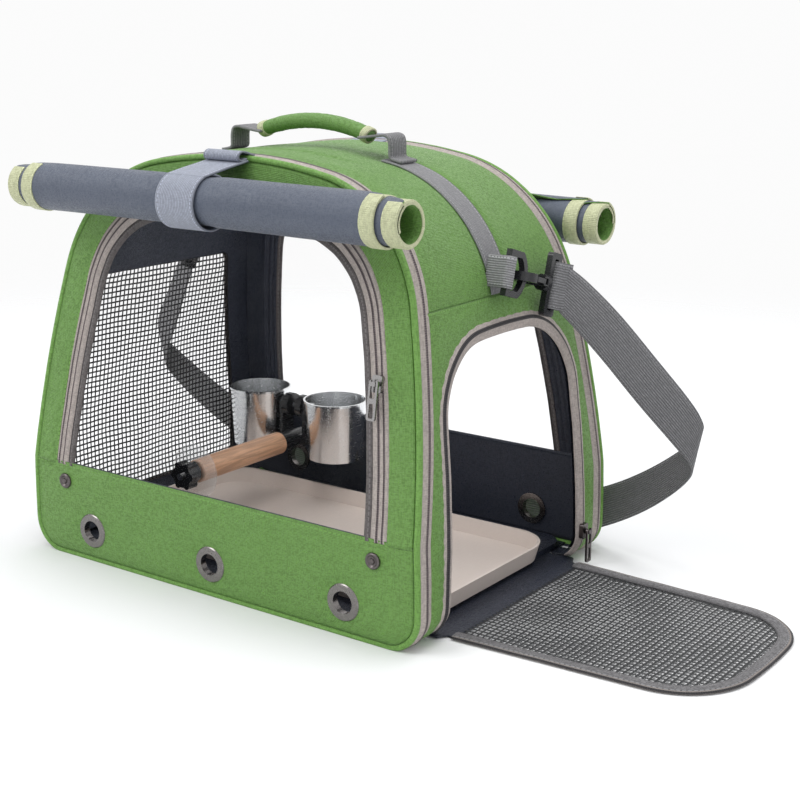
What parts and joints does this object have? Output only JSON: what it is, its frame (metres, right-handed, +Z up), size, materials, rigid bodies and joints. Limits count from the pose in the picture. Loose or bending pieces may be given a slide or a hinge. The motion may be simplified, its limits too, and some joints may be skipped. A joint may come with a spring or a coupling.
{
  "type": "bird travel carrier",
  "caption": "Soft-sided travel carrier for a small bird with zip-down clear windows, rolled shades, mesh door, perch, cups, tray, carry handle and shoulder strap.",
  "frame": {"origin": "middle of the base, on the surface that the carrier stands on", "axes": "+X along the carrier to the end with the door, -Y to the front window, +Z up"},
  "size_m": [0.7124, 0.3298, 0.379],
  "materials": {
    "green_fabric": "heathered woven polyester, green",
    "base_fabric": "coated fabric, near black",
    "lining": "smooth coated fabric, dark navy",
    "grey_binding": "woven binding tape, dark grey",
    "shade_fabric": "smooth dense fabric, slate grey",
    "linen_binding": "open plain weave, pale lime",
    "zipper_tape": "woven zipper tape, taupe, with a mauve coil",
    "clear_film": "soft clear film",
    "black_mesh": "coarse open net, black",
    "grey_webbing": "ribbed webbing, mid grey",
    "black_plastic": "moulded, satin",
    "dark_metal": "plated, dark nickel",
    "steel": "polished stainless",
    "dowel_wood": "turned and sanded hardwood",
    "clear_plastic": "clear moulded plastic",
    "tray_plastic": "formed sheet, cream, satin",
    "board": "stiff base board under dark cloth"
  },
  "bodies": {
    "root": {"back_band_lining": "lining", "back_panel": "green_fabric", "back_piping": "green_fabric", "back_rolled_shade": "shade_fabric", "back_window_binding": "grey_binding", "back_window_film": "clear_film", "bottom_panel": "base_fabric", "cup_bracket": "black_plastic", "door_hinge_strip": "lining", "doorway_tape": "zipper_tape", "edge_zipper_tapes": "zipper_tape", "eyelets": "dark_metal", "floor_board": "board", "front_band_lining": "lining", "front_panel": "green_fabric", "front_piping": "green_fabric", "front_rolled_shade": "shade_fabric", "front_window_binding": "grey_binding", "front_window_film": "clear_film", "handle_loops": "grey_webbing", "hook_swivels": "black_plastic", "inner_lining": "lining", "left_end_panel": "green_fabric", "left_strap_end": "grey_webbing", "left_window_binding": "grey_binding", "left_window_mesh": "black_mesh", "perch_dowel": "dowel_wood", "perch_rod": "steel", "perch_rod_nut": "steel", "perch_washer": "clear_plastic", "right_end_panel": "green_fabric", "right_strap_end": "grey_webbing", "ring_tabs": "grey_webbing", "shade_bindings": "linen_binding", "shade_straps": "grey_webbing", "side_webbing": "grey_webbing", "snap_studs": "dark_metal", "strap_back": "grey_webbing", "strap_rings": "black_plastic", "top_panel": "green_fabric", "window_zipper_tapes": "zipper_tape"},
    "door": {"door_binding": "grey_binding", "door_mesh": "black_mesh"},
    "front_slider": {"front_zipper_slider": "dark_metal"},
    "front_puller": {"front_zipper_puller": "dark_metal"},
    "door_slider": {"door_zipper_slider": "dark_metal"},
    "door_puller": {"door_zipper_puller": "dark_metal"},
    "handle": {"handle_grip": "green_fabric", "handle_binding": "linen_binding"},
    "right_hook": {"right_hook": "black_plastic"},
    "left_hook": {"left_hook": "black_plastic"},
    "right_gate": {"right_hook_gate": "black_plastic"},
    "left_gate": {"left_hook_gate": "black_plastic"},
    "adjuster": {"strap_adjuster": "black_plastic"},
    "tray": {"tray": "tray_plastic"},
    "star_knob": {"perch_star_knob": "black_plastic"},
    "right_cup": {"right_cup": "steel"},
    "left_cup": {"left_cup": "steel"},
    "right_cup_knob": {"right_cup_knob": "black_plastic"},
    "left_cup_knob": {"left_cup_knob": "black_plastic"}
  },
  "joints": [
    {"name": "door_hinge", "type": "hinge", "parent": "root", "child": "door", "pos_m": [0.20535, 0, 0.0018], "axis": [0, -1, 0], "range_deg": [0, 90]},
    {"name": "front_slider_run", "type": "slide", "parent": "root", "child": "front_slider", "axis": [0, 0.1582, 0.9874], "range_m": [-0.1, 0]},
    {"name": "front_puller_swing", "type": "hinge", "parent": "front_slider", "child": "front_puller", "pos_m": [0.15564, -0.12931, 0.19714], "axis": [-1, 0, 0], "range_deg": [0, 120]},
    {"name": "door_slider_run", "type": "slide", "parent": "root", "child": "door_slider", "axis": [0, 0, 1], "range_m": [0, 0.1]},
    {"name": "door_puller_swing", "type": "hinge", "parent": "door_slider", "child": "door_puller", "pos_m": [0.21134, 0.103, 0.03], "axis": [0, -1, 0], "range_deg": [0, 120]},
    {"name": "handle_swing", "type": "hinge", "parent": "root", "child": "handle", "pos_m": [0, 0, 0.34559], "axis": [1, 0, 0], "range_deg": [-40, 40]},
    {"name": "right_hook_turn", "type": "hinge", "parent": "root", "child": "right_hook", "pos_m": [0.19392, -0.008, 0.266], "axis": [0, 0.9613, -0.2756], "range_deg": [-15, 15]},
    {"name": "left_hook_turn", "type": "hinge", "parent": "root", "child": "left_hook", "pos_m": [-0.19392, -0.008, 0.266], "axis": [0, 0.9613, -0.2756], "range_deg": [-15, 15]},
    {"name": "right_gate_swing", "type": "hinge", "parent": "right_hook", "child": "right_gate", "pos_m": [0.20192, 0.02944, 0.25526], "axis": [0, -0.2756, -0.9613], "range_deg": [0, 20]},
    {"name": "left_gate_swing", "type": "hinge", "parent": "left_hook", "child": "left_gate", "pos_m": [-0.20192, 0.02944, 0.25526], "axis": [0, 0.2756, 0.9613], "range_deg": [0, 20]},
    {"name": "adjuster_run", "type": "slide", "parent": "root", "child": "adjuster", "axis": [1, 0, 0], "range_m": [-0.06, 0.06]},
    {"name": "tray_slide", "type": "slide", "parent": "root", "child": "tray", "axis": [1, 0, 0], "range_m": [0, 0.015]},
    {"name": "star_knob_turn", "type": "hinge", "parent": "root", "child": "star_knob", "pos_m": [-0.104, -0.044, 0.062], "axis": [0, 1, 0], "continuous": true},
    {"name": "right_cup_tilt", "type": "hinge", "parent": "root", "child": "right_cup", "pos_m": [-0.058, 0.098, 0.093], "axis": [1, 0, 0], "range_deg": [-20, 10]},
    {"name": "right_cup_knob_turn", "type": "hinge", "parent": "right_cup", "child": "right_cup_knob", "pos_m": [-0.0961, 0.098, 0.093], "axis": [1, 0, 0], "continuous": true},
    {"name": "left_cup_tilt", "type": "hinge", "parent": "root", "child": "left_cup", "pos_m": [-0.15, 0.098, 0.093], "axis": [1, 0, 0], "range_deg": [-20, 10]},
    {"name": "left_cup_knob_turn", "type": "hinge", "parent": "left_cup", "child": "left_cup_knob", "pos_m": [-0.1119, 0.098, 0.093], "axis": [1, 0, 0], "continuous": true}
  ]
}
